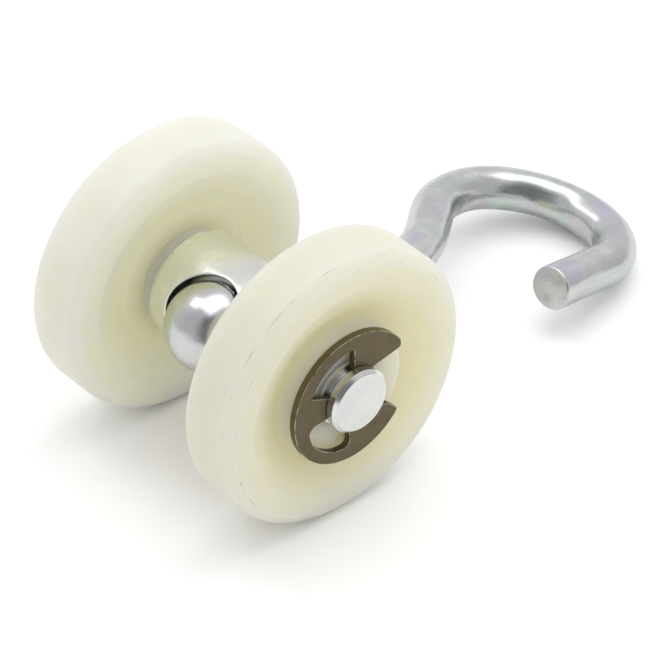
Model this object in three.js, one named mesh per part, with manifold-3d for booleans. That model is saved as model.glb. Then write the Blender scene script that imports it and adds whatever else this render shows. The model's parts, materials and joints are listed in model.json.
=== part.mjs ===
// Twin-roller overhead-rail trolley with a swivel hook, lying on a bench: it stands on its two
// wheels and on the far bend of the hook. Millimetres, +Z up, z = 0 is the bench, and the origin
// is under the middle of the whole object. +X runs along the axle, +Y towards the hook.
// The pieces are drawn in the part frame, whose origin is the middle of the axle.
import * as THREE from "three";
import { mergeVertices } from "three/addons/utils/BufferGeometryUtils.js";
import Module from "manifold-3d";

// ---- driving dimensions -------------------------------------------------------------------
// Wheels. Distances along the axle are from the wheel's mid-plane.
const TREAD_R = 32.5; // a 65 mm wheel
const TREAD_HALF = 5.55; // half width of the cylindrical tread
const WHEEL_X = 25.17; // wheel mid-plane from the middle of the axle
const RIM_HALF = 7.67; // half width over the rim faces
const RIM_R = 30.03; // outer radius of the flat rim face, where the edge bevel ends
const DISH_R = 25.1; // the rim face ends here and the dished web begins
const WEB_HALF = 3.6; // half thickness of the web at the foot of the boss
const BOSS_OUT = 7.3; // boss face on the clip side
const BOSS_OUT_R = 14.9;
const BOSS_OUT_ROOT_R = 16.3;
const BOSS_IN = 5.3; // boss face on the barrel side
const BOSS_IN_R = 16.0;
const BOSS_IN_ROOT_R = 17.6;
const PAD_IN = 8.35; // face of the thrust ring on the inner boss
const PAD_R = 11.2;
const PAD_TAPER = 0.4; // the ring is this much smaller in radius at its face

// Spindle. Distances along the axle are from its middle.
const JOURNAL_R = 7.5; // 15 mm journals
const WHEEL_BORE_R = JOURNAL_R + 0.08;
const AXLE_END = 37.4;
const AXLE_CHAMFER = 0.85;
const BARREL_R = 12.7; // one-inch bar
const BARREL_HALF = 16.42;
const BARREL_CHAMFER = 0.45;
const GROOVE_R = 6.0; // clip groove
const GROOVE_IN = 33.05;
const GROOVE_OUT = 34.85;

// Hook, a bent bar with a ball head
const HOOK_DECLINE_DEG = 14.7; // the shank slopes down to the hook
const HOOK_SWIVEL_DEG = 2.3; // how far the hook has swivelled about its shank
const ROD_R = 5.0; // 10 mm bar
const BALL_R = 9.8;
const BALL_OFFSET = 9.75; // ball centre from the axle axis, on the side away from the hook
const NECK_L = 1.6; // blend between the ball and the rod
const NECK_START_R = ROD_R + 0.5;
const NECK_MID_R = ROD_R + 0.12;
const SHANK_L = 29.6; // end of the straight shank, from the axle axis
const SWAN_R = 57.5; // first bend, out towards -X
const SWAN_DEG = 40;
const SWAN_FLAT = 8.1; // straight after it
const BOW_R = 21.7; // main bend, back towards +X
const BOW_DEG = 138;
const NOSE_R = 15.5; // tighter bend towards the tip
const NOSE_DEG = 74;
const TIP_L = 18.9; // straight tip
const TIP_CHAMFER = 0.5;

// Cross hole in the barrel, along the shank
const HOOK_CLEARANCE = 0.35;
const SHANK_BORE_R = ROD_R + HOOK_CLEARANCE;
const SEAT_R = BALL_R + HOOK_CLEARANCE; // round bottom of the counterbore
const SEAT_BORE_R = BALL_R + 1; // counterbore that takes the ball
const CUTTER_REACH = 30; // well past the barrel on both sides

// Retaining clips
const CLIP_T = 1.6;
const CLIP_X = GROOVE_IN + 0.1; // inner face of the clip
const CLIP_R = 15.78; // outer edge
const CLIP_CENTRE = [-0.15, -0.2]; // Y and Z of the outer edge's centre
const CLIP_BORE_R = GROOVE_R + 0.12;
const UPPER_WINDOW_R = 12.4; // far edges of the two windows
const LOWER_WINDOW_R = 13.1;

// Place of the axle's middle on the bench
const HUB_Y = -38.68;
const HUB_Z = TREAD_R;

// Mesh steps
const TURNED_SEGMENTS = 52;
const CUTTER_SEGMENTS = 48;
const SEAT_STEPS = 10;
const BALL_STEPS = 12;
const HOOK_SIDES = 28;

// ---- solids and meshes --------------------------------------------------------------------
const wasm = await Module();
wasm.setup();
const radians = THREE.MathUtils.degToRad;

// A closed geometry as a solid; its faces are turned round if they point inwards.
function solid(geometry) {
  // normals and uvs would keep the vertices along a seam apart
  geometry.deleteAttribute("normal");
  geometry.deleteAttribute("uv");
  const merged = mergeVertices(geometry, 1e-4);
  const vertProperties = new Float32Array(merged.attributes.position.array);
  const triVerts = new Uint32Array(merged.index.array);
  const corner = (i) => new THREE.Vector3().fromArray(vertProperties, 3 * triVerts[i]);
  let volume = 0;
  for (let i = 0; i < triVerts.length; i += 3)
    volume += corner(i).dot(corner(i + 1).cross(corner(i + 2)));
  if (volume < 0)
    for (let i = 0; i < triVerts.length; i += 3)
      [triVerts[i + 1], triVerts[i + 2]] = [triVerts[i + 2], triVerts[i + 1]];
  return new wasm.Manifold(new wasm.Mesh({ numProp: 3, vertProperties, triVerts }));
}

// The solids carry positions only, so each vertex is three numbers.
function geometryOf(manifold) {
  const mesh = manifold.getMesh();
  const geometry = new THREE.BufferGeometry();
  const positions = new Float32Array(mesh.vertProperties);
  geometry.setAttribute("position", new THREE.BufferAttribute(positions, 3));
  geometry.setIndex(new THREE.BufferAttribute(new Uint32Array(mesh.triVerts), 1));
  geometry.computeVertexNormals();
  return geometry;
}

const FINISHES = {
  nylon: { color: 0xe4e0c8, roughness: 0.45, metalness: 0 },
  zinc: { color: 0xc9ccce, roughness: 0.3, metalness: 1 },
  bronzed: { color: 0x6e634a, roughness: 0.5, metalness: 0.8 },
};

const group = new THREE.Group();

function add(name, geometry, finish) {
  const mesh = new THREE.Mesh(geometry, new THREE.MeshStandardMaterial(FINISHES[finish]));
  mesh.name = name;
  group.add(mesh);
  return mesh;
}

// One piece at +x and the same piece at -x, turned half round about Z.
function addPair(name, geometry, finish, x) {
  add(`${name}_right`, geometry, finish).position.set(x, 0, 0);
  const left = add(`${name}_left`, geometry, finish);
  left.position.set(-x, 0, 0);
  left.rotation.set(0, 0, Math.PI);
}

// ---- profiles -----------------------------------------------------------------------------
// A profile of [x, r] pairs turned about the X axis.
function turned(profile, segments) {
  const points = profile.map(([x, r]) => new THREE.Vector2(r, x));
  return new THREE.LatheGeometry(points, segments).rotateZ(-Math.PI / 2); // +Y becomes +X
}

function vectorBetween([fromX, fromY], [toX, toY]) {
  return new THREE.Vector2(toX - fromX, toY - fromY);
}

// Points of the arc that rounds a corner between its two neighbours.
function fillet(before, corner, after, radius, steps) {
  const toBefore = vectorBetween(corner, before).normalize();
  const toAfter = vectorBetween(corner, after).normalize();
  const halfAngle = toBefore.angleTo(toAfter) / 2;
  const setback = radius / Math.tan(halfAngle);
  const centre = toBefore.clone().add(toAfter).setLength(radius / Math.sin(halfAngle));
  // all still measured from the corner
  const startAngle = toBefore.multiplyScalar(setback).sub(centre).angle();
  let sweep = toAfter.multiplyScalar(setback).sub(centre).angle() - startAngle;
  if (sweep > Math.PI) sweep -= 2 * Math.PI;
  if (sweep < -Math.PI) sweep += 2 * Math.PI;
  const points = [];
  for (let i = 0; i <= steps; i++) {
    const angle = startAngle + (sweep * i) / steps;
    points.push([
      corner[0] + centre.x + radius * Math.cos(angle),
      corner[1] + centre.y + radius * Math.sin(angle),
    ]);
  }
  return points;
}

// ---- wheels -------------------------------------------------------------------------------
// Once round the wheel's half section, outer face towards +X:
// [x, r] for a sharp corner, [x, r, fillet radius, steps] for a rounded one.
const WHEEL_PROFILE = [
  [BOSS_OUT, WHEEL_BORE_R],
  [BOSS_OUT, BOSS_OUT_R, 0.7, 1],
  [WEB_HALF, BOSS_OUT_ROOT_R, 1.5, 3],
  [RIM_HALF, DISH_R, 0.9, 1],
  [RIM_HALF, RIM_R, 1.5, 2],
  [TREAD_HALF, TREAD_R, 1.8, 3],
  [-TREAD_HALF, TREAD_R, 1.8, 3],
  [-RIM_HALF, RIM_R, 1.5, 2],
  [-RIM_HALF, DISH_R, 0.9, 1],
  [-WEB_HALF, BOSS_IN_ROOT_R, 1.8, 3],
  [-BOSS_IN, BOSS_IN_R, 1.3, 2],
  [-BOSS_IN, PAD_R],
  [-PAD_IN, PAD_R - PAD_TAPER],
  [-PAD_IN, WHEEL_BORE_R],
  [BOSS_OUT, WHEEL_BORE_R],
];

function wheelGeometry() {
  const profile = WHEEL_PROFILE.flatMap((point, i) => {
    const [, , radius, steps] = point;
    if (!radius) return [point];
    return fillet(WHEEL_PROFILE[i - 1], point, WHEEL_PROFILE[i + 1], radius, steps);
  });
  return geometryOf(solid(turned(profile, TURNED_SEGMENTS)));
}

// ---- spindle: barrel with two turned-down journals, one piece ------------------------------
// Drawing +X stood along the shank: part +Y, sloping down.
const decline = new THREE.Matrix4().makeRotationX(-radians(HOOK_DECLINE_DEG));
const alongShank = decline.clone().multiply(new THREE.Matrix4().makeRotationZ(Math.PI / 2));

// The cross hole: a counterbore with a round bottom, and a through bore for the shank.
function crossHoleCutter() {
  const seat = [];
  for (let i = 0; i <= SEAT_STEPS; i++) {
    const angle = (i / SEAT_STEPS) * (Math.PI / 2);
    const r = SEAT_R * Math.sin(angle);
    if (r >= SHANK_BORE_R) seat.push([-BALL_OFFSET + SEAT_R * Math.cos(angle), r]);
  }
  const seatEnd = -BALL_OFFSET + Math.sqrt(SEAT_R ** 2 - SHANK_BORE_R ** 2);
  const profile = [
    [CUTTER_REACH, 0],
    [CUTTER_REACH, SHANK_BORE_R],
    [seatEnd, SHANK_BORE_R],
    ...seat,
    [-BALL_OFFSET, SEAT_BORE_R],
    [-CUTTER_REACH, SEAT_BORE_R],
    [-CUTTER_REACH, 0],
  ];
  return solid(turned(profile, CUTTER_SEGMENTS).applyMatrix4(alongShank));
}

function spindleGeometry() {
  const rightHalf = [
    [BARREL_HALF - BARREL_CHAMFER, BARREL_R],
    [BARREL_HALF, BARREL_R - BARREL_CHAMFER],
    [BARREL_HALF, JOURNAL_R],
    [GROOVE_IN, JOURNAL_R],
    [GROOVE_IN, GROOVE_R],
    [GROOVE_OUT, GROOVE_R],
    [GROOVE_OUT, JOURNAL_R],
    [AXLE_END - AXLE_CHAMFER, JOURNAL_R],
    [AXLE_END, JOURNAL_R - AXLE_CHAMFER],
    [AXLE_END, 0],
  ];
  const leftHalf = rightHalf.map(([x, r]) => [-x, r]).reverse();
  const bar = solid(turned([...leftHalf, ...rightHalf], TURNED_SEGMENTS));
  return geometryOf(bar.subtract(crossHoleCutter()));
}

// ---- retaining clips ----------------------------------------------------------------------
// Points of an arc about [y, z], in degrees from +Y towards +Z.
function arc(radius, fromDeg, toDeg, steps, [y, z] = [0, 0]) {
  return Array.from({ length: steps + 1 }, (_, i) => {
    const angle = radians(fromDeg + ((toDeg - fromDeg) * i) / steps);
    return [y + radius * Math.cos(angle), z + radius * Math.sin(angle)];
  });
}

// The outline in the axle's cross section, mouth towards +Y: anticlockwise round the outer edge,
// then back round the bore and the two windows that open into it. Corners are [y, z, radius].
const CLIP_OUTLINE = [
  // upper jaw, from the bore out
  [3.75, 4.84, 0.25], [6.62, 5.31, 1.0], [13.35, 6.45, 1.05],
  ...arc(CLIP_R, 33, 317.5, 44, CLIP_CENTRE),
  // lower jaw, back in to the bore
  [12.5, -9.62, 1.3], [9.9, -7.02, 2.0], [4.35, -5.35, 0.4],
  ...arc(CLIP_BORE_R, -52, -93, 4),
  // lower window
  [-0.95, -6.35, 0.35], [-0.95, -12.75, 1.9],
  ...arc(LOWER_WINDOW_R, 250, 212, 6),
  [-12.35, -2.55, 1.9], [-6.45, -2.12, 0.4],
  // end of the prong between the windows
  ...arc(CLIP_BORE_R, 192, 161, 4),
  // upper window
  [-6.18, 2.72, 0.35], [-11.3, 5.22, 0.45],
  ...arc(UPPER_WINDOW_R, 151.5, 96, 8),
  [0.3, 12.35, 0.5], [0.35, 6.4, 0.35],
  ...arc(CLIP_BORE_R, 84, 58, 3),
];
const MAX_SETBACK = 0.48; // of the shorter side at a corner, so that fillets never meet
const LARGE_FILLET_R = 0.9; // fillets above this radius get more steps

function clipGeometry() {
  const points = CLIP_OUTLINE.flatMap((corner, i) => {
    const radius = corner[2];
    if (!radius) return [corner];
    const before = CLIP_OUTLINE.at(i - 1);
    const after = CLIP_OUTLINE[(i + 1) % CLIP_OUTLINE.length];
    const toBefore = vectorBetween(corner, before);
    const toAfter = vectorBetween(corner, after);
    const shorterSide = Math.min(toBefore.length(), toAfter.length());
    const largest = MAX_SETBACK * shorterSide * Math.tan(toBefore.angleTo(toAfter) / 2);
    const steps = radius > LARGE_FILLET_R ? 4 : 2;
    return fillet(before, corner, after, Math.min(radius, largest), steps);
  });
  const shape = new THREE.Shape(points.map(([y, z]) => new THREE.Vector2(y, z)));
  const plate = new THREE.ExtrudeGeometry(shape, {
    depth: CLIP_T,
    bevelEnabled: false,
    curveSegments: 1,
  });
  // shape x, y and depth become Y, Z and X
  plate.applyMatrix4(new THREE.Matrix4().makeBasis(
    new THREE.Vector3(0, 1, 0), new THREE.Vector3(0, 0, 1), new THREE.Vector3(1, 0, 0)));
  return geometryOf(solid(plate));
}

// ---- swivel hook --------------------------------------------------------------------------
// The bar's cross sections from ball to tip, drawn along +X in the XY plane:
// [x, y, heading, radius].
function hookRings() {
  const rings = [];
  const run = (length, radius = ROD_R) => {
    const [x, y, heading] = rings.at(-1);
    rings.push([
      x + length * Math.cos(heading), y + length * Math.sin(heading), heading, radius,
    ]);
  };
  // positive degrees turn anticlockwise
  const bend = (bendR, degrees, steps) => {
    const [x, y, startHeading] = rings.at(-1);
    const signedR = Math.sign(degrees) * bendR;
    const centreX = x - signedR * Math.sin(startHeading);
    const centreY = y + signedR * Math.cos(startHeading);
    for (let i = 1; i <= steps; i++) {
      const heading = startHeading + (radians(degrees) * i) / steps;
      rings.push([
        centreX + signedR * Math.sin(heading),
        centreY - signedR * Math.cos(heading),
        heading,
        ROD_R,
      ]);
    }
  };

  // the ball, from beside its pole to its neck
  const ballSweep = Math.PI - Math.asin(NECK_START_R / BALL_R);
  for (let i = 1; i <= BALL_STEPS; i++) {
    const angle = (ballSweep * i) / BALL_STEPS;
    rings.push([-BALL_OFFSET - BALL_R * Math.cos(angle), 0, 0, BALL_R * Math.sin(angle)]);
  }
  run(NECK_L / 2, NECK_MID_R);
  run(NECK_L / 2);
  run(SHANK_L - rings.at(-1)[0]);
  bend(SWAN_R, -SWAN_DEG, 8);
  run(SWAN_FLAT);
  bend(BOW_R, BOW_DEG, 22);
  bend(NOSE_R, NOSE_DEG, 12);
  run(TIP_L - TIP_CHAMFER);
  run(TIP_CHAMFER, ROD_R - TIP_CHAMFER);
  return rings;
}

// A skin over the rings, closed at the ball's pole and at the middle of the tip's end face.
function hookSkin() {
  const rings = hookRings();
  const positions = [-BALL_OFFSET - BALL_R, 0, 0];
  for (const [x, y, heading, radius] of rings)
    for (let j = 0; j < HOOK_SIDES; j++) {
      const angle = (2 * Math.PI * j) / HOOK_SIDES;
      const across = radius * Math.cos(angle);
      positions.push(
        x - across * Math.sin(heading), y + across * Math.cos(heading), radius * Math.sin(angle));
    }
  const [tipX, tipY] = rings.at(-1);
  positions.push(tipX, tipY, 0);

  const pole = 0;
  const tip = 1 + rings.length * HOOK_SIDES;
  const lastRing = rings.length - 1;
  const vertex = (ring, side) => 1 + ring * HOOK_SIDES + (side % HOOK_SIDES);
  const index = [];
  for (let j = 0; j < HOOK_SIDES; j++) index.push(pole, vertex(0, j + 1), vertex(0, j));
  for (let i = 0; i < lastRing; i++)
    for (let j = 0; j < HOOK_SIDES; j++) {
      index.push(vertex(i, j), vertex(i, j + 1), vertex(i + 1, j));
      index.push(vertex(i, j + 1), vertex(i + 1, j + 1), vertex(i + 1, j));
    }
  for (let j = 0; j < HOOK_SIDES; j++)
    index.push(tip, vertex(lastRing, j), vertex(lastRing, j + 1));

  const skin = new THREE.BufferGeometry();
  skin.setAttribute("position", new THREE.Float32BufferAttribute(positions, 3));
  skin.setIndex(index);
  return skin;
}

function hookGeometry() {
  // drawing x, y and z become Y, X and -Z, then the hook swivels about its shank and slopes down
  const toPart = decline.clone()
    .multiply(new THREE.Matrix4().makeRotationY(radians(HOOK_SWIVEL_DEG)))
    .multiply(new THREE.Matrix4().makeBasis(
      new THREE.Vector3(0, 1, 0), new THREE.Vector3(1, 0, 0), new THREE.Vector3(0, 0, -1)));
  return geometryOf(solid(hookSkin().applyMatrix4(toPart)));
}

// ---- assembly -----------------------------------------------------------------------------
addPair("wheel", wheelGeometry(), "nylon", WHEEL_X);
add("hub_spindle", spindleGeometry(), "zinc");
addPair("retaining_clip", clipGeometry(), "bronzed", CLIP_X); // the left one's mouth faces -Y
add("swivel_hook", hookGeometry(), "zinc");
group.position.set(0, HUB_Y, HUB_Z);

export default group;
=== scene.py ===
# A rail trolley: two nylon wheels on a plated spindle, with a ball-headed hook that swivels in it.
# The frame is in metres: +Z up, z = 0 the bench, +X along the axle, +Y from the axle to the hook.
# Piece sizes are in millimetres, measured from the middle of the axle.
import json
import math

import bmesh
import bpy
import numpy as np
from mathutils import Matrix, Vector


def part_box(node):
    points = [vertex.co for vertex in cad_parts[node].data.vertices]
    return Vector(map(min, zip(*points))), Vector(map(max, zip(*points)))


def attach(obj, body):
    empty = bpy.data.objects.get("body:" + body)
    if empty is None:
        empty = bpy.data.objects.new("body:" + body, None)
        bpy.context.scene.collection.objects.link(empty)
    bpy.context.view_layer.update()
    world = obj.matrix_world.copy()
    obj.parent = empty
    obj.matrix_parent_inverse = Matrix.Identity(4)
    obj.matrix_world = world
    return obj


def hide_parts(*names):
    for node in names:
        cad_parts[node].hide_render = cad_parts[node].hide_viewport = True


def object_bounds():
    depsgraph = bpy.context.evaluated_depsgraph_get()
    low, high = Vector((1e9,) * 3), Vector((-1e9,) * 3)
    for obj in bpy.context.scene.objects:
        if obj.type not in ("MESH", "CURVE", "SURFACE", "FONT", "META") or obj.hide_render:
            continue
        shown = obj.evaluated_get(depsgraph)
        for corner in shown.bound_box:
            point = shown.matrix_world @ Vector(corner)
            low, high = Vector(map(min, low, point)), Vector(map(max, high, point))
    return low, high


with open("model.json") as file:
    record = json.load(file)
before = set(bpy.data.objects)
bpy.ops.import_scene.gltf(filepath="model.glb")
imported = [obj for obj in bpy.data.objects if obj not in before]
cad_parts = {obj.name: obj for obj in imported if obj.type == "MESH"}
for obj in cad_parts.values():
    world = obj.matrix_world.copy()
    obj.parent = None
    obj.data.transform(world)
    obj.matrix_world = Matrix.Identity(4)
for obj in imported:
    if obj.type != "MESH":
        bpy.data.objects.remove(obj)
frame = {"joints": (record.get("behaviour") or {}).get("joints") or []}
cad_box = [list(v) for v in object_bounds()]
scene = bpy.context.scene
MM = 0.001

joints = {joint["name"]: joint for joint in frame["joints"]}
HUB = Vector(joints["wheel_right_spin"]["pos_m"])
SHANK = Vector(joints["hook_swivel"]["axis"]).normalized()


def mm_box(node):
    low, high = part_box(node)
    return (low - HUB) / MM, (high - HUB) / MM


# ---- sizes shared by several pieces ---------------------------------------------------------
wheel_high = mm_box("wheel_right")[1]
spindle_high = mm_box("hub_spindle")[1]
clip_low, clip_high = mm_box("retaining_clip_right")
TREAD_R = wheel_high.z
AXLE_END = spindle_high.x
BARREL_R = spindle_high.z
RIM_HALF = 7.67  # half the wheel's width at the rim
WHEEL_X = wheel_high.x - RIM_HALF
BALL_RISE = 9.75  # ball centre from the axle, away from the hook

# ---- profiles -------------------------------------------------------------------------------


def corner(before, point, after):
    """Unit directions from a point to its neighbours, and half the angle between them."""
    arm_in = (before - point) / np.linalg.norm(before - point)
    arm_out = (after - point) / np.linalg.norm(after - point)
    return arm_in, arm_out, math.acos(max(-1, min(1, float(arm_in @ arm_out)))) / 2


def fillet(before, point, after, radius, steps):
    """Points of the arc that rounds one corner."""
    before, point, after = (np.array(p[:2], float) for p in (before, point, after))
    arm_in, arm_out, half = corner(before, point, after)
    reach = radius / math.tan(half)
    bisector = arm_in + arm_out
    centre = point + bisector / np.linalg.norm(bisector) * radius / math.sin(half)
    start = point + arm_in * reach - centre
    end = point + arm_out * reach - centre
    first, last = math.atan2(start[1], start[0]), math.atan2(end[1], end[0])
    while last - first > math.pi:
        last -= 2 * math.pi
    while last - first < -math.pi:
        last += 2 * math.pi
    angles = np.linspace(first, last, steps + 1)
    return [tuple(centre + radius * np.array((math.cos(w), math.sin(w)))) for w in angles]


def rounded(points, closed=False):
    """Rounds a profile whose entries are (x, radius) or (x, radius, fillet radius, steps)."""
    out, count = [], len(points)
    for i, point in enumerate(points):
        if len(point) == 2 or (not closed and i in (0, count - 1)):
            out.append(tuple(point[:2]))
        else:
            out.extend(fillet(points[i - 1], point, points[(i + 1) % count], *point[2:]))
    return out


def held(profile, margin=0.12, step=1.6, closed=False):
    """Adds points near the ends of a profile's straight runs, and along its long ones."""
    out, count = [], len(profile)
    for i in range(count if closed else count - 1):
        start = np.array(profile[i], float)
        end = np.array(profile[(i + 1) % count], float)
        out.append(tuple(start))
        length = np.linalg.norm(end - start)
        if length > 4 * margin:
            parts = max(1, int(length // step))
            cuts = [j / parts for j in range(1, parts)
                    if margin < length * j / parts < length - margin]
            for t in [margin / length] + cuts + [1 - margin / length]:
                out.append(tuple(start + (end - start) * t))
    if not closed:
        out.append(tuple(profile[-1]))
    return out


def arc_lengths(points):
    steps = np.linalg.norm(np.diff(np.array(points, float), axis=0), axis=1)
    return np.concatenate([[0], np.cumsum(steps)])


# ---- mesh building --------------------------------------------------------------------------


class Builder:
    """Collects rings of vertices, each with a "grain" coordinate for marks left by working."""

    def __init__(self):
        self.points, self.faces, self.grain = [], [], []

    def ring(self, points, grain):
        start = len(self.points)
        self.points.extend([tuple(p) for p in points])
        self.grain.extend([tuple(g) for g in grain])
        return start

    def skin(self, rings, count, closed=False):
        """Joins rings of count vertices in turn, and the last to the first when closed."""
        pairs = list(zip(rings, rings[1:]))
        if closed:
            pairs.append((rings[-1], rings[0]))
        for a, b in pairs:
            for j in range(count):
                k = (j + 1) % count
                self.faces.append((a + j, a + k, b + k, b + j))

    def cap(self, point, grain, ring, count):
        """Closes a ring with triangles to one point."""
        centre = self.ring([point], [grain])
        for j in range(count):
            self.faces.append((centre, ring + j, ring + (j + 1) % count))

    def build(self, name, matrix, merge=0.0):
        """matrix takes the builder's millimetres to the frame; merge is a distance in mm."""
        mesh = bpy.data.meshes.new(name)
        mesh.from_pydata(self.points, [], self.faces)
        for label, values in (("grain", self.grain), ("local", self.points)):
            attribute = mesh.attributes.new(label, "FLOAT_VECTOR", "POINT")
            attribute.data.foreach_set("vector", np.array(values, np.float32).ravel())
        mesh.transform(matrix)
        bm = bmesh.new()
        bm.from_mesh(mesh)
        if merge:
            bmesh.ops.remove_doubles(bm, verts=bm.verts, dist=merge * MM)
        bmesh.ops.recalc_face_normals(bm, faces=bm.faces)
        bm.to_mesh(mesh)
        bm.free()
        mesh.polygons.foreach_set("use_smooth", [True] * len(mesh.polygons))
        mesh.update()
        ob = bpy.data.objects.new(name, mesh)
        scene.collection.objects.link(ob)
        return ob


FROM_MM = Matrix.Translation(HUB) @ Matrix.Scale(MM, 4)


def to_hub(x=0.0, turn=0.0):
    return FROM_MM @ Matrix.Translation((x, 0, 0)) @ Matrix.Rotation(turn, 4, "Z")


# ---- wheels ---------------------------------------------------------------------------------
NOMINAL_TREAD_R = 32.5
WHEEL_BORE_R = 7.58
# x (positive on the outboard face), radius, fillet radius, fillet steps
WHEEL = [
    (7.30, WHEEL_BORE_R, 0.35, 4),
    (7.30, 14.9, 0.60, 7),
    (3.60, 16.3, 1.50, 10),
    (RIM_HALF, 25.1, 0.90, 7),
    (RIM_HALF, 30.03, 1.50, 7),
    (5.55, NOMINAL_TREAD_R, 1.80, 9),
    (-5.55, NOMINAL_TREAD_R, 1.80, 9),
    (-RIM_HALF, 30.03, 1.50, 7),
    (-RIM_HALF, 25.1, 0.90, 7),
    (-3.60, 17.6, 1.80, 10),
    (-5.30, 16.0, 1.30, 9),
    (-5.30, 11.2, 0.25, 3),
    (-8.35, 10.8, 0.35, 4),
    (-8.35, WHEEL_BORE_R, 0.35, 4),
]
FITTED_FROM_R = 31  # beyond this radius the profile is scaled to the frame's tread
WHEEL_SEGMENTS = 288


def wheel(name, x, turn):
    profile = held(rounded(WHEEL, closed=True), closed=True)
    profile = [(px, r * TREAD_R / NOMINAL_TREAD_R if r > FITTED_FROM_R else r)
               for px, r in profile]
    builder = Builder()
    angles = np.linspace(0, 2 * math.pi, WHEEL_SEGMENTS, endpoint=False)
    cos, sin = np.cos(angles), np.sin(angles)
    rings = []
    for (px, r), along in zip(profile, arc_lengths(profile)):
        points = np.stack([np.full_like(angles, px), r * cos, r * sin], 1)
        rings.append(builder.ring(points, np.stack([np.full_like(angles, along), cos, sin], 1)))
    builder.skin(rings, WHEEL_SEGMENTS, closed=True)
    return builder.build(name, to_hub(x, turn))


# ---- spindle: barrel with its cross hole, and the two journals ------------------------------
SEAT_R = 10.8  # counterbore that takes the ball
SEAT_SHIFT = -0.4  # the counterbore's offset in x from the hole's axis
SEAT_EASE = 3.0  # height over which that offset fades to the shank bore
SHANK_BORE_R = 5.35
SEAT_BEVEL, BORE_BEVEL = 0.42, 0.45
BEVEL_STEPS = 6
BARREL_HALF = 15.9  # the barrel's patches round the hole reach this far in x
ROUND_STEPS, LENGTH_STEPS = 96, 84  # round half the barrel, and along it
JOURNAL_R = 7.5
SHOULDER_X = 16.42
GROOVE_IN, GROOVE_OUT, GROOVE_R = 33.05, 34.85, 6.0
# x, radius, fillet radius, fillet steps
SPINDLE_END = [
    (BARREL_HALF, BARREL_R),
    (SHOULDER_X, BARREL_R, 0.32, 5),
    (SHOULDER_X, JOURNAL_R, 0.3, 4),
    (GROOVE_IN, JOURNAL_R, 0.12, 3),
    (GROOVE_IN, GROOVE_R, 0.2, 3),
    (GROOVE_OUT, GROOVE_R, 0.2, 3),
    (GROOVE_OUT, JOURNAL_R, 0.12, 3),
    (AXLE_END - 0.82, JOURNAL_R, 0.12, 3),
    (AXLE_END, 6.70, 0.15, 4),
    (AXLE_END, 0.0),
]
END_GRAIN = 16  # grain coordinate where the end profiles start

UP_HOLE = -SHANK  # along the cross hole, away from the hook
ACROSS = np.array(UP_HOLE.cross(Vector((1, 0, 0))))
UP_HOLE = np.array(UP_HOLE)


def place(x, across, up):
    return np.outer(x, (1.0, 0, 0)) + np.outer(across, ACROSS) + np.outer(up, UP_HOLE)


def seat_wall(up):
    """Counterbore radius: straight above the ball's centre, round below it."""
    ball_part = np.sqrt(np.maximum(SEAT_R**2 - (BALL_RISE - up) ** 2, 0.01))
    return np.where(up >= BALL_RISE, SEAT_R, ball_part)


def half_barrel_edge():
    """Edge of half the barrel's surface as (x, angle from the hole)."""
    full, half = math.pi, math.pi / 2
    edge = [(BARREL_HALF, -half + full * j / ROUND_STEPS) for j in range(ROUND_STEPS)]
    edge += [(BARREL_HALF - 2 * BARREL_HALF * j / LENGTH_STEPS, half)
             for j in range(LENGTH_STEPS)]
    edge += [(-BARREL_HALF, half - full * j / ROUND_STEPS) for j in range(ROUND_STEPS)]
    edge += [(-BARREL_HALF + 2 * BARREL_HALF * j / LENGTH_STEPS, -half)
             for j in range(LENGTH_STEPS)]
    return np.array(edge)


def blend(t, start, middle, end):
    """Quadratic curve used for the bevelled rims."""
    return (1 - t) ** 2 * start + 2 * t * (1 - t) * middle + t * t * end


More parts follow.
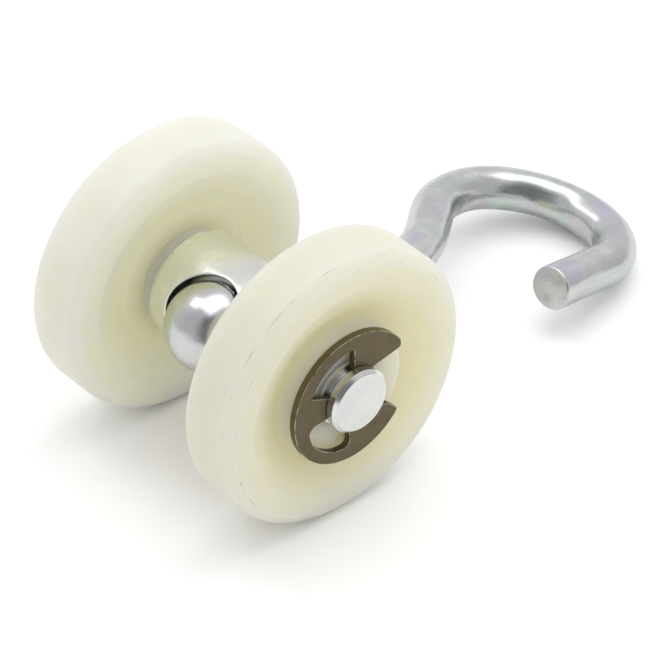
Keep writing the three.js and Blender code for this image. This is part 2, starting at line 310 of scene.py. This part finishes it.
def barrel(builder):
    """One skin from the barrel's far edge over the ball side, through the hole and back."""
    edge = half_barrel_edge()
    bearing = np.arctan2(BARREL_R * edge[:, 1], edge[:, 0])
    cos, sin = np.cos(bearing), np.sin(bearing)

    def surface_up(radius):
        """Height at which a hole of this radius meets the barrel."""
        return np.sqrt(BARREL_R**2 - (radius * sin) ** 2)

    def hole_ring(radius, up, shift=0.0):
        points = place(shift + radius * cos, radius * sin, up)
        return builder.ring(points, np.stack([up, cos, sin], 1))

    def surface(side, rim_r, count, shift=0.0):
        """Rings on the barrel from a hole's rim out to the edge of that half."""
        rim_angle = np.arcsin(np.clip(rim_r * sin / BARREL_R, -1, 1))
        rim_x = shift + rim_r * cos
        out = []
        for w in [0.0, 0.012] + [((i + 1) / count) ** 1.25 for i in range(count)]:
            x = rim_x + (edge[:, 0] - rim_x) * w
            angle = rim_angle + (edge[:, 1] - rim_angle) * w
            points = place(x, BARREL_R * np.sin(angle), side * BARREL_R * np.cos(angle))
            turn = np.arctan2(points @ ACROSS, points @ UP_HOLE)
            grain = np.stack([points[:, 0], np.cos(turn), np.sin(turn)], 1)
            out.append(builder.ring(points, grain))
        return out

    # the counterbore's rim, settled by repeated halving
    rim_r = np.full(len(edge), SEAT_R)
    for _ in range(60):
        rim_r = 0.5 * rim_r + 0.5 * seat_wall(surface_up(rim_r))
    rim_up = surface_up(rim_r)
    outer_r = rim_r + SEAT_BEVEL
    outer_up = surface_up(outer_r)
    inner_up = rim_up - SEAT_BEVEL
    inner_r = seat_wall(inner_up)
    rings = surface(1, outer_r, 22, SEAT_SHIFT)[::-1]
    for i in range(1, BEVEL_STEPS + 1):
        t = i / BEVEL_STEPS
        radius = blend(t, outer_r, rim_r, inner_r)
        rings.append(hole_ring(radius, blend(t, outer_up, rim_up, inner_up), SEAT_SHIFT))

    # the counterbore, down to the shank bore
    seat_end = BALL_RISE - math.sqrt(SEAT_R**2 - SHANK_BORE_R**2)
    for t in np.concatenate([[0.02], np.linspace(0.05, 1, 40)]):
        up = inner_up + (seat_end - inner_up) * t
        shift = SEAT_SHIFT * np.clip((up - seat_end) / SEAT_EASE, 0.0, 1.0)
        rings.append(hole_ring(seat_wall(up), up, shift))

    # the shank bore, and its rim on the hook side
    bore_up = -surface_up(SHANK_BORE_R)
    for t in np.concatenate([[0.02], np.linspace(0.05, 0.98, 22)]):
        up = seat_end + (bore_up + BORE_BEVEL - seat_end) * t
        rings.append(hole_ring(SHANK_BORE_R, up))
    bevel_r = SHANK_BORE_R + BORE_BEVEL
    bevel_up = -surface_up(bevel_r)
    for i in range(BEVEL_STEPS):
        t = i / BEVEL_STEPS
        radius = blend(t, SHANK_BORE_R, SHANK_BORE_R, bevel_r)
        rings.append(hole_ring(radius, blend(t, bore_up + BORE_BEVEL, bore_up, bevel_up)))
    rings.extend(surface(-1, bevel_r, 26))
    builder.skin(rings, len(edge))


def spindle(name):
    builder = Builder()
    barrel(builder)
    profile = held(rounded(SPINDLE_END), margin=0.1, step=1.2)
    along = END_GRAIN + arc_lengths(profile)
    count = 2 * ROUND_STEPS
    angles = -math.pi / 2 + math.pi * np.arange(count) / ROUND_STEPS
    cos, sin = np.cos(angles), np.sin(angles)
    for side in (1, -1):
        rings = []
        for (x, r), grain in zip(profile[:-1], along):
            points = place(np.full(count, side * x), r * sin, r * cos)
            rings.append(builder.ring(points, np.stack([np.full(count, grain), cos, sin], 1)))
        builder.skin(rings, count)
        builder.cap((side * AXLE_END, 0, 0), (along[-1], 0, 0), rings[-1], count)
    return builder.build(name, to_hub(), merge=0.002)


# ---- retaining clips: E-type ----------------------------------------------------------------
CLIP_SEAT_R = 6.12  # where the prongs meet the groove
CLIP_SPACING = 0.24  # between points of the finished outline
CLIP_FILLET_STEPS = 7
CLIP_ROLL, CLIP_SHARP = 0.19, 0.08  # edge radii of the outboard and inboard faces


def polar(radius, degrees):
    angle = math.radians(degrees)
    return np.array((radius * math.cos(angle), radius * math.sin(angle)))


def arc(radius, first, last, count, centre=(0.0, 0.0)):
    return [(*(polar(radius, d) + centre), 0.0) for d in np.linspace(first, last, count)]


# y, z, corner radius: anticlockwise, with the mouth towards +y
CLIP = [
    # upper jaw, from the bore along the mouth to the tip
    (3.75, 4.84, 0.25), (6.62, 5.31, 1.0), (13.35, 6.45, 1.05),
    # outer edge, a little off the groove's centre
    *arc(15.78, 33, 360 - 42.5, 96, centre=(-0.15, -0.2)),
    # lower jaw, from the tip back to the bore
    (12.50, -9.62, 1.30), (9.90, -7.02, 2.0), (4.35, -5.35, 0.4),
    *arc(CLIP_SEAT_R, -52, -93, 9),
    # lower window
    (-0.95, -6.35, 0.35), (-0.95, -12.75, 1.9),
    *arc(13.1, 250, 212, 12),
    (-12.35, -2.55, 1.9), (-6.45, -2.12, 0.4),
    *arc(CLIP_SEAT_R, 192, 161, 7),
    # upper window
    (*polar(6.75, 156.2), 0.35), (*polar(12.45, 155.2), 0.45),
    *arc(12.4, 151.5, 96, 15),
    (0.30, 12.35, 0.5), (0.35, 6.4, 0.35),
    *arc(CLIP_SEAT_R, 84, 58, 6),
]


def clip_outline():
    """CLIP with its corners rounded as far as there is room, evenly spaced."""
    points = [np.array(entry[:2]) for entry in CLIP]
    out = []
    for i, (point, entry) in enumerate(zip(points, CLIP)):
        radius = entry[2]
        if radius > 0:
            before, after = points[i - 1], points[(i + 1) % len(points)]
            room = min(np.linalg.norm(before - point), np.linalg.norm(after - point))
            half = corner(before, point, after)[2]
            radius = min(radius, 0.48 * room * math.tan(half))
            out.extend(fillet(before, point, after, radius, CLIP_FILLET_STEPS))
        else:
            out.append(point)
    loop = np.array(out + [out[0]])
    along = arc_lengths(loop)
    t = np.linspace(0, along[-1], int(along[-1] / CLIP_SPACING), endpoint=False)
    return np.stack([np.interp(t, along, loop[:, 0]), np.interp(t, along, loop[:, 1])], 1)


def clip(name, turn):
    """A stamped blank: its outboard face has the rolled-over edge, its inboard the sharper one."""
    loop = clip_outline()
    count = len(loop)
    tangent = np.roll(loop, -1, 0) - np.roll(loop, 1, 0)
    tangent /= np.linalg.norm(tangent, axis=1)[:, None]
    inward = np.stack([-tangent[:, 1], tangent[:, 0]], 1)
    low, high = clip_low.x, clip_high.x
    quarter = math.pi / 2
    # x, distance inside the outline
    layers = [(low, CLIP_SHARP + 0.05)]
    layers += [(low + CLIP_SHARP * (1 - math.cos(w)), CLIP_SHARP * (1 - math.sin(w)))
               for w in np.linspace(0, quarter, 5)]
    layers += [(low + CLIP_SHARP + 0.1, 0.0), (0.5 * (low + high), 0.0)]
    layers += [(high - CLIP_ROLL - 0.1, 0.0)]
    layers += [(high - CLIP_ROLL * (1 - math.sin(w)), CLIP_ROLL * (1 - math.cos(w)))
               for w in np.linspace(0, quarter, 8)]
    layers += [(high, CLIP_ROLL + 0.04)]
    along = arc_lengths(loop)
    builder = Builder()
    rings = []
    for x, inset in layers:
        xs = np.full(count, x)
        points = np.column_stack([xs, loop + inward * inset])
        rings.append(builder.ring(points, np.column_stack([xs, np.full(count, inset), along])))
    builder.skin(rings, count)
    for ring in (rings[0], rings[-1]):
        builder.faces.append(tuple(range(ring, ring + count)))
    return builder.build(name, to_hub(turn=turn))


# ---- swivel hook: drawn in its own plane, x down the shank ----------------------------------
ROD_R = 5.0
BALL_R = 9.8
NECK_R = 2.2  # fillet between ball and bar
SHANK_L = 29.6
# bend radius and degrees, or None and a straight length
BENDS = [(57.5, -40.0), (None, 8.1), (21.7, 138.0), (15.5, 74.0), (None, 18.9)]
SWIVEL = math.radians(2.3)
HOOK_SIDES = 120
TIP_ROLL = 0.42  # edge radius of the flat tip
TIP_CLEAR = 0.75  # no ordinary station is closer to the tip than this
WAVES_FROM = BALL_R + 12  # unevenness grows in from here
WAVES_FADE = 10
DENT_DEPTH, DENT_LENGTH = 0.16, 5.0  # hollow on one side of the tip
DENT_ANGLE, DENT_WIDTH = 3.5, 0.55  # where it is round the bar, in radians


def hook_stations():
    """x, y, heading and radius from the ball's pole to the flat tip."""
    rise = ROD_R + NECK_R
    reach = math.sqrt((BALL_R + NECK_R) ** 2 - rise**2)
    neck = math.atan2(rise, reach)
    stations = [[-BALL_RISE - BALL_R * math.cos(w), 0, 0, BALL_R * math.sin(w)]
                for w in np.linspace(0.02, math.pi - neck, 64)]
    for w in np.linspace(math.pi + neck, 1.5 * math.pi, 14)[1:]:
        x = -BALL_RISE + reach + NECK_R * math.cos(w)
        stations.append([x, 0, 0, rise + NECK_R * math.sin(w)])
    for x in np.arange(stations[-1][0] + 0.6, SHANK_L - 0.2, 0.9):
        stations.append([x, 0, 0, ROD_R])
    stations.append([SHANK_L, 0.0, 0.0, ROD_R])
    for radius, amount in BENDS:
        x, y, heading = stations[-1][:3]
        if radius is None:
            steps = max(2, int(amount / 0.6))
            for i in range(1, steps + 1):
                t = amount * i / steps
                stations.append(
                    [x + t * math.cos(heading), y + t * math.sin(heading), heading, ROD_R])
        else:
            bend = math.copysign(1, amount) * radius
            centre_x, centre_y = x - bend * math.sin(heading), y + bend * math.cos(heading)
            steps = max(8, int(radius * math.radians(abs(amount)) / 0.55))
            for i in range(1, steps + 1):
                h = heading + math.radians(amount) * i / steps
                stations.append(
                    [centre_x + bend * math.sin(h), centre_y - bend * math.cos(h), h, ROD_R])
    # the last stretch rolls over to a flat face
    x, y, heading = stations.pop()[:3]
    while math.hypot(stations[-1][0] - x, stations[-1][1] - y) < TIP_CLEAR:
        stations.pop()
    for k in range(7):
        w = math.pi / 2 * k / 6
        back = TIP_ROLL * (1 - math.sin(w))
        stations.append([x - back * math.cos(heading), y - back * math.sin(heading), heading,
                         ROD_R - TIP_ROLL * (1 - math.cos(w))])
    for r in (ROD_R - TIP_ROLL - 0.12, 3.4, 2.2, 1.1):
        stations.append([x, y, heading, r])
    return np.array(stations)


def hook(name):
    stations = hook_stations()
    along = arc_lengths(stations[:, :2])
    total = along[-1]
    angles = np.linspace(0, 2 * math.pi, HOOK_SIDES, endpoint=False)
    cos, sin = np.cos(angles), np.sin(angles)
    rng = np.random.default_rng(7)
    # long soft unevenness: rate along the bar, lobes round it, phase, height
    waves = [(rng.uniform(0.05, 0.35), rng.integers(1, 5), rng.uniform(0, 6.28),
              rng.uniform(0.006, 0.022)) for _ in range(22)]
    dent = np.exp(-(((angles - DENT_ANGLE) / DENT_WIDTH) ** 2))
    builder = Builder()
    rings = []
    for (x, y, heading, r), s in zip(stations, along):
        swell = np.zeros(HOOK_SIDES)
        if r > ROD_R - 0.7 and s > WAVES_FROM:
            fade = min(1.0, (s - WAVES_FROM) / WAVES_FADE)
            for rate, lobes, phase, height in waves:
                swell += fade * height * np.sin(rate * s + lobes * angles + phase)
        if r > 2.5:
            swell -= DENT_DEPTH * max(0.0, 1 - (total - s) / DENT_LENGTH) ** 2 * dent
        in_plane, out_of_plane = (r + swell) * cos, (r + swell) * sin
        points = np.stack([x - in_plane * math.sin(heading), y + in_plane * math.cos(heading),
                           out_of_plane], 1)
        g = r / (BALL_R if s < 1.2 * BALL_R else ROD_R)
        rings.append(builder.ring(points, np.stack([np.full_like(angles, s), g * cos, g * sin], 1)))
    builder.skin(rings, HOOK_SIDES)
    builder.cap((-BALL_RISE - BALL_R, 0, 0), (0, 0, 0), rings[0], HOOK_SIDES)
    builder.cap((*stations[-1][:2], 0), (total, 0, 0), rings[-1], HOOK_SIDES)
    decline = math.asin(-SHANK.z)
    # drawn x becomes +Y, drawn y becomes +X
    stand = Matrix(((0, 1, 0, 0), (1, 0, 0, 0), (0, 0, -1, 0), (0, 0, 0, 1)))
    turn = Matrix.Rotation(-decline, 4, "X") @ Matrix.Rotation(SWIVEL, 4, "Y")
    return builder.build(name, FROM_MM @ turn @ stand)


# ---- node trees -----------------------------------------------------------------------------


class Nodes:
    """Short calls that add nodes to a tree and return the output socket."""

    def __init__(self, tree, idle=0.0):
        self.tree = tree
        self.idle = idle  # value on the third input of math nodes, which none of them reads

    def find(self, kind):
        return next(n for n in self.tree.nodes if n.type == kind)

    def link(self, source, socket):
        if isinstance(source, (int, float)):
            socket.default_value = source
        elif isinstance(source, tuple):
            same = len(source) == len(socket.default_value)
            socket.default_value = source if same else source + (1.0,)
        else:
            self.tree.links.new(source, socket)

    def fill(self, node, **inputs):
        """Sets inputs by name, with _ for a space."""
        for name, value in inputs.items():
            self.link(value, node.inputs[name.replace("_", " ")])
        return node

    def new(self, kind, **inputs):
        return self.fill(self.tree.nodes.new(kind), **inputs)

    def math(self, op, a, b=0.0, clamp=False):
        node = self.new("ShaderNodeMath")
        node.operation = op
        node.use_clamp = clamp
        for socket, value in zip(node.inputs, (a, b, self.idle)):
            self.link(value, socket)
        return node.outputs[0]

    def add(self, a, b):
        return self.math("ADD", a, b)

    def sub(self, a, b):
        return self.math("SUBTRACT", a, b)

    def mul(self, a, b):
        return self.math("MULTIPLY", a, b)

    def split(self, vector):
        return self.new("ShaderNodeSeparateXYZ", Vector=vector).outputs

    def ramp(self, value, span, out=(0.0, 1.0)):
        """Smooth step that takes the two ends of span to the two values of out."""
        node = self.new("ShaderNodeMapRange", Value=value, From_Min=span[0], From_Max=span[1],
                        To_Min=out[0], To_Max=out[1])
        node.interpolation_type = "SMOOTHSTEP"
        return node.outputs["Result"]

    def mix(self, factor, a, b):
        node = self.new("ShaderNodeMix")
        node.data_type = "RGBA"
        self.link(factor, node.inputs["Factor"])
        colours = [s for s in node.inputs if s.type == "RGBA"]
        self.link(a, colours[0])
        self.link(b, colours[1])
        return next(s for s in node.outputs if s.type == "RGBA")

    def tint(self, base, mask, colour, amount):
        return self.mix(self.mul(mask, amount), base, colour)


class Material(Nodes):
    def __init__(self, name):
        self.mat = bpy.data.materials.new(name)
        self.mat.use_nodes = True
        super().__init__(self.mat.node_tree)

    def finish(self, **inputs):
        self.fill(self.find("BSDF_PRINCIPLED"), **inputs)
        return self.mat

    def attribute(self, name):
        node = self.new("ShaderNodeAttribute")
        node.attribute_name = name
        return node.outputs["Vector"]

    def noise(self, vector, detail, rough, scale=1.0, distortion=0.0, stretch=None):
        if stretch:
            node = self.new("ShaderNodeVectorMath")
            node.operation = "MULTIPLY"
            self.link(vector, node.inputs[0])
            self.link(stretch, node.inputs[1])
            vector = node.outputs[0]
        return self.new("ShaderNodeTexNoise", Vector=vector, Scale=scale, Detail=detail,
                        Roughness=rough, Distortion=distortion).outputs["Fac"]

    def bumps(self, *layers):
        """Stacked bumps, each a height socket and its depth in mm."""
        normal = None
        for height, depth in layers:
            node = self.new("ShaderNodeBump", Strength=1.0, Distance=depth * MM, Height=height)
            if normal is not None:
                self.link(normal, node.inputs["Normal"])
            normal = node.outputs[0]
        return normal


def nylon():
    """Natural cast nylon: milky, with scuffed edges; painted shade tints the dish more strongly and
    darkens the right wheel, and painted light lightens the left wheel's faces.
    """
    t = Material("nylon_natural")
    milk, pale, near_wheel_shade = (0.800, 0.796, 0.705), (0.832, 0.825, 0.752), (0.740, 0.728, 0.615)
    # left wheel's face and the middle of it, painted lighter as painted light, then the right
    # wheel's face, painted as shade
    face, middle, near_face_shade = (0.992, 0.928, 0.768), (0.985, 0.895, 0.650), (0.848, 0.808, 0.592)
    scuff, rubbed = (0.36, 0.37, 0.33), (0.60, 0.60, 0.54)

    grain, local = t.attribute("grain"), t.attribute("local")
    x, y, z = t.split(local)
    radius = t.math("SQRT", t.add(t.mul(y, y), t.mul(z, z)))
    from_middle = t.math("ABSOLUTE", x)
    cloud = t.noise(local, scale=0.085, detail=3, rough=0.5)
    fine = t.noise(local, scale=1.1, detail=4, rough=0.6)
    base = t.mix(t.ramp(cloud, span=(0.32, 0.70)), milk, pale)
    position = t.new("ShaderNodeNewGeometry").outputs["Position"]
    on_right = t.ramp(t.split(position)[0], span=(-0.004, 0.004))  # metres
    # painted shade: the right wheel is painted darker and yellower all over
    base = t.tint(base, on_right, near_wheel_shade, amount=0.6)

    # painted shade: the side faces are tinted yellower than the tread, deepest in the dish
    dish = t.add(t.ramp(radius, span=(31.5, 25.0), out=(0.0, 0.50)),
                 t.ramp(radius, span=(25.2, 22.0), out=(0.0, 0.34)))
    far_face_lit = t.mix(t.ramp(radius, span=(18.5, 16.0)), face, middle)
    # painted light and shade: the left wheel's rim face is tinted too, towards its lighter,
    # yellower face colour
    left_rim_painted_tint = t.mul(t.sub(1.0, on_right), t.ramp(radius, span=(32.0, 29.0), out=(0.0, 0.35)))
    dish = t.math("ADD", dish, left_rim_painted_tint, clamp=True)
    base = t.mix(dish, base, t.mix(on_right, far_face_lit, near_face_shade))

    dash = t.noise(grain, stretch=(1.5, 5.0, 5.0), detail=5, rough=0.7)

    def scuff_line(at_r, at_x, turns, gaps, width=0.27):
        """A wandering, broken line round the wheel at one edge of the bevels."""
        off_r = t.math("POWER", t.math("ABSOLUTE", t.sub(radius, at_r)), 2.0)
        off_x = t.math("POWER", t.math("ABSOLUTE", t.sub(from_middle, at_x)), 2.0)
        wander = t.noise(grain, stretch=(0.0, 6.0, 6.0), detail=2, rough=0.5)
        drift = t.mul(t.sub(wander, 0.5), 0.5)
        distance = t.math("SQRT", t.add(off_r, off_x))
        distance = t.math("ABSOLUTE", t.add(distance, drift))
        breaks = t.noise(grain, stretch=(0.0, turns, turns), detail=3, rough=0.6)
        pieces = t.mul(t.ramp(breaks, span=gaps), t.ramp(dash, span=(0.38, 0.56)))
        return t.mul(t.ramp(distance, span=(width, width * 0.2)), pieces)

    edge = t.math("MAXIMUM",
                  scuff_line(at_r=32.30, at_x=5.70, turns=2.3, gaps=(0.50, 0.60)),
                  scuff_line(at_r=30.10, at_x=7.55, turns=2.9, gaps=(0.48, 0.60)))
    edge = t.mul(edge, t.add(0.2, t.mul(on_right, 0.8)))  # a fifth as strong on the left wheel
    patches = t.noise(grain, stretch=(1.4, 6.0, 6.0), detail=4, rough=0.6)
    rub = t.mul(t.ramp(patches, span=(0.62, 0.76)), t.ramp(radius, span=(29.6, 31.2)))
    base = t.tint(base, edge, scuff, amount=0.50)
    base = t.tint(base, rub, rubbed, amount=0.16)
    lathe = t.noise(grain, stretch=(6.0, 0.35, 0.35), detail=3, rough=0.6)
    sheen = t.ramp(fine, span=(0.3, 0.7), out=(0.38, 0.48))
    return t.finish(
        Base_Color=base,
        Roughness=t.add(sheen, t.mul(edge, 0.2)),  # scuffs are rougher
        Normal=t.bumps((lathe, 0.010), (fine, 0.030), (cloud, 0.30), (t.mul(edge, -1.0), 0.05)),
        IOR=1.5,
        Specular_IOR_Level=0.28,
        Subsurface_Weight=1.0,
        Subsurface_Scale=0.018,
        Subsurface_Radius=(1.0, 0.93, 0.60),
    )


# Noises in the grain coordinate, their bump depths in mm, plate colours, and base roughness.
DRAWN = dict(  # marks run along the bar
    lines=dict(stretch=(0.07, 14.0, 14.0), detail=4, rough=0.6),
    ripples=dict(stretch=(0.035, 2.0, 2.0), detail=1, rough=0.4),
    dents=dict(stretch=(0.11, 0.9, 0.9), detail=0, rough=0.4),
    depths=dict(lines=0.004, ripples=0.14, dents=0.75),
    dull=(0.610, 0.625, 0.630), clean=(0.730, 0.735, 0.725),
    lilac=(0.620, 0.620, 0.710), green=(0.600, 0.675, 0.640),
    rough=0.235,
)
TURNED = dict(  # marks run round the axle
    lines=dict(stretch=(7.0, 0.6, 0.6), detail=4, rough=0.6),
    ripples=dict(stretch=(1.1, 0.8, 0.8), detail=3, rough=0.5),
    dents=dict(stretch=(0.20, 1.2, 1.2), detail=2, rough=0.45),
    depths=dict(lines=0.0025, ripples=0.012, dents=0.10),
    dull=(0.835, 0.840, 0.825), clean=(0.900, 0.900, 0.880),
    lilac=(0.800, 0.800, 0.830), green=(0.785, 0.820, 0.790),
    rough=0.19,
)


def zinc(name, steel):
    """Bright zinc plate with faint lilac and green casts, over turned or drawn steel."""
    t = Material(name)
    pit_grey, end_grey = (0.45, 0.46, 0.45), (0.680, 0.690, 0.640)
    grain, local = t.attribute("grain"), t.attribute("local")
    marks = {kind: t.noise(grain, **steel[kind]) for kind in steel["depths"]}
    blotch = t.noise(local, scale=0.11, detail=3, rough=0.55)
    cast = t.noise(local, scale=0.075, detail=3, rough=0.5, distortion=0.6)
    fine = t.noise(local, scale=2.0, detail=4, rough=0.65)
    pits = t.ramp(t.noise(local, scale=1.1, detail=3, rough=0.5), span=(0.70, 0.80))
    base = t.mix(t.ramp(blotch, span=(0.34, 0.68)), steel["dull"], steel["clean"])
    # the hook's ball is smoother than its bar, and less lilac
    ball = t.ramp(t.split(grain)[0], span=(28.0, 22.0)) if steel is DRAWN else 0.0
    lilac = t.mul(t.ramp(cast, span=(0.52, 0.64), out=(0.0, 0.80)), t.sub(1.0, t.mul(ball, 0.75)))
    base = t.mix(lilac, base, steel["lilac"])
    base = t.mix(t.ramp(cast, span=(0.47, 0.36), out=(0.0, 0.80)), base, steel["green"])
    base = t.tint(base, pits, pit_grey, amount=0.14)
    if steel is TURNED:  # the end faces hold less shine
        from_middle = t.math("ABSOLUTE", t.split(local)[0])
        end = t.ramp(from_middle, span=(AXLE_END - 0.30, AXLE_END - 0.05))
        base = t.tint(base, end, end_grey, amount=0.2)
    layers = [(marks[kind], depth) for kind, depth in steel["depths"].items()]
    smooth = steel["rough"]
    rough = t.add(t.ramp(blotch, span=(0.3, 0.75), out=(smooth, smooth + 0.08)),
                  t.mul(ball, -0.045))
    streaks = t.ramp(marks["lines"], span=(0.3, 0.75), out=(-0.02, 0.05))
    rough = t.add(rough, t.add(streaks, t.mul(pits, 0.10)))
    return t.finish(Base_Color=base, Metallic=1.0, Roughness=rough,
                    Normal=t.bumps(*layers, (fine, 0.005)))


def clip_steel():
    """Spring steel with an olive-brown phosphate finish, rubbed bright along its edges, where that
    bright band is also a painted highlight on the rolled edges.
    """
    t = Material("clip_phosphate")
    dark, olive = (0.128, 0.104, 0.060), (0.160, 0.134, 0.080)
    speck, bright = (0.24, 0.20, 0.12), (0.62, 0.58, 0.45)
    local = t.attribute("local")
    inset = t.split(t.attribute("grain"))[1]
    blotch = t.noise(local, scale=0.28, detail=4, rough=0.55)
    fine = t.noise(local, scale=3.5, detail=5, rough=0.65)
    scratch = t.noise(local, stretch=(1.0, 0.35, 4.5), scale=2.2, detail=4, rough=0.6)
    base = t.mix(t.ramp(blotch, span=(0.3, 0.72)), dark, olive)
    base = t.tint(base, t.ramp(fine, span=(0.45, 0.8)), speck, amount=0.22)
    # rubbed bright metal on the rolled edges, partly a painted highlight
    band = t.mul(t.ramp(inset, span=(0.01, 0.05)), t.ramp(inset, span=(0.18, 0.12)))
    patches = t.noise(local, scale=0.7, detail=4, rough=0.6)
    wear_and_glint = t.mul(band, t.ramp(patches, span=(0.34, 0.56)))
    base = t.tint(base, wear_and_glint, bright, amount=0.80)
    sheen = t.ramp(blotch, span=(0.3, 0.7), out=(0.36, 0.46))
    return t.finish(
        Base_Color=base,
        Metallic=0.9,
        Roughness=t.add(sheen, t.mul(wear_and_glint, -0.12)),  # worn edges are smoother
        Normal=t.bumps((fine, 0.010), (scratch, 0.006)),
    )


NYLON = nylon()
ZINC_TURNED = zinc("zinc_on_turned_steel", TURNED)
ZINC_DRAWN = zinc("zinc_on_drawn_bar", DRAWN)
CLIP_STEEL = clip_steel()

# ---- pieces ---------------------------------------------------------------------------------
# object, body it rides, frame node it replaces, slot, material
made = [
    (wheel("wheel_right_moulding", WHEEL_X, 0.0), "wheel_right", "wheel_right", "nylon", NYLON),
    (wheel("wheel_left_moulding", -WHEEL_X, math.pi), "wheel_left", "wheel_left", "nylon", NYLON),
    (spindle("spindle_turned"), "spindle", "hub_spindle", "zinc_spindle", ZINC_TURNED),
    (clip("clip_right_spring", 0), "spindle", "retaining_clip_right", "clip_steel", CLIP_STEEL),
    (clip("clip_left_spring", math.pi), "spindle", "retaining_clip_left", "clip_steel",
     CLIP_STEEL),
    (hook("swivel_hook_bar"), "hook", "swivel_hook", "zinc_hook", ZINC_DRAWN),
]
for ob, body, node, slot, material in made:
    ob.data.materials.append(material)
    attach(ob, body)
    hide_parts(node)


# ---- floor ----------------------------------------------------------------------------------
def white_floor():
    """Brighter to the camera than to the pieces it lights."""
    t = Material("floor_white")
    lit, seen = (0.96, 0.955, 0.94), (1.17, 1.17, 1.17)
    to_camera = t.new("ShaderNodeLightPath").outputs["Is Camera Ray"]
    return t.finish(Base_Color=t.mix(to_camera, lit, seen), Roughness=0.7,
                    Specular_IOR_Level=0.1)


floor_material = white_floor()
floor_mesh = bpy.data.meshes.new("floor")
bm = bmesh.new()
bmesh.ops.create_grid(bm, x_segments=8, y_segments=8, size=6.0)
bm.to_mesh(floor_mesh)
bm.free()
floor_mesh.materials.append(floor_material)
floor = bpy.data.objects.new("floor", floor_mesh)
scene.collection.objects.link(floor)

# ---- light ----------------------------------------------------------------------------------
CENTRE = (Vector(cad_box[0]) + Vector(cad_box[1])) / 2


def softbox(name, offset, width, depth, radiance):
    """A panel facing down, placed in metres from the middle of the product."""
    data = bpy.data.lights.new(name, "AREA")
    data.shape = "RECTANGLE"
    data.size, data.size_y = width, depth
    data.energy = radiance * math.pi * width * depth
    ob = bpy.data.objects.new(name, data)
    ob.matrix_world = Matrix.Translation(CENTRE + Vector(offset))
    scene.collection.objects.link(ob)


# a wide panel that reaches back beyond the hook, and a smaller one to the -X side of it
softbox("overhead", offset=(-0.02, 0.58, 1.3), width=1.14, depth=2.00, radiance=1.16)
softbox("left", offset=(-0.96, -0.32, 1.3), width=0.74, depth=0.50, radiance=2.1)


def studio():
    """A pale room, dark on the camera's side where polished metal mirrors it."""
    world = bpy.data.worlds.new("studio")
    scene.world = world
    world.use_nodes = True
    t = Nodes(world.node_tree, idle=0.5)
    x, y, z = t.split(t.new("ShaderNodeTexCoord").outputs["Generated"])
    flat = t.math("SQRT", t.add(t.mul(x, x), t.mul(y, y)))
    # 1 towards the dark side, -1 away from it
    toward = t.math("DIVIDE", t.add(t.mul(x, 0.875), t.mul(y, -0.485)),
                    t.math("MAXIMUM", flat, 0.02))
    dark = t.mul(t.ramp(toward, span=(0.60, 0.94)), t.ramp(z, span=(0.93, 0.78)))
    # glossy rays see all of the dark, others 0.15 of it
    glossy = t.new("ShaderNodeLightPath").outputs["Is Glossy Ray"]
    dark = t.mul(dark, t.add(0.15, t.mul(glossy, 0.85)))
    sky = t.mul(t.ramp(z, span=(0.0, 0.9), out=(0.56, 0.60)),
                t.ramp(toward, span=(0.1, -0.8), out=(1.0, 1.28)))
    # matt surfaces get extra fill from +X
    matt = t.sub(1.0, glossy)
    sky = t.mul(sky, t.add(1.0, t.mul(matt, t.ramp(x, span=(0.1, 0.8), out=(0.0, 0.40)))))
    dark_level = 0.18
    level = t.add(t.mul(sky, t.sub(1.0, dark)), t.mul(dark, dark_level))
    tone = t.new("ShaderNodeVectorMath")
    tone.operation = "SCALE"
    t.link((1.0, 1.0, 1.01), tone.inputs[0])
    t.link(level, tone.inputs["Scale"])
    t.fill(t.find("BACKGROUND"), Color=tone.outputs[0], Strength=1.0)


studio()

# ---- camera ---------------------------------------------------------------------------------
cam_data = bpy.data.cameras.new("camera")
cam_data.sensor_width = 36.0
cam_data.lens = 246.9
cam_data.clip_start, cam_data.clip_end = 0.05, 30.0
cam = bpy.data.objects.new("camera", cam_data)
right = Vector((0.65646, 0.75436, 0.0))
down = Vector((0.46945, -0.40853, -0.7826))
forward = Vector((-0.59048, 0.51385, -0.6223))
# the hub as seen from the camera, in tread radii
hub_offset = -0.52302 * right - 0.04441 * down + 28.93744 * forward
position = HUB - TREAD_R * MM * hub_offset
rotation = Matrix((right, -down, -forward)).transposed().to_4x4()
cam.matrix_world = Matrix.Translation(position) @ rotation
scene.collection.objects.link(cam)
scene.camera = cam

scene.view_settings.view_transform = "Standard"
scene.view_settings.look = "None"
scene.view_settings.exposure = 0.0
scene.view_settings.gamma = 1.0
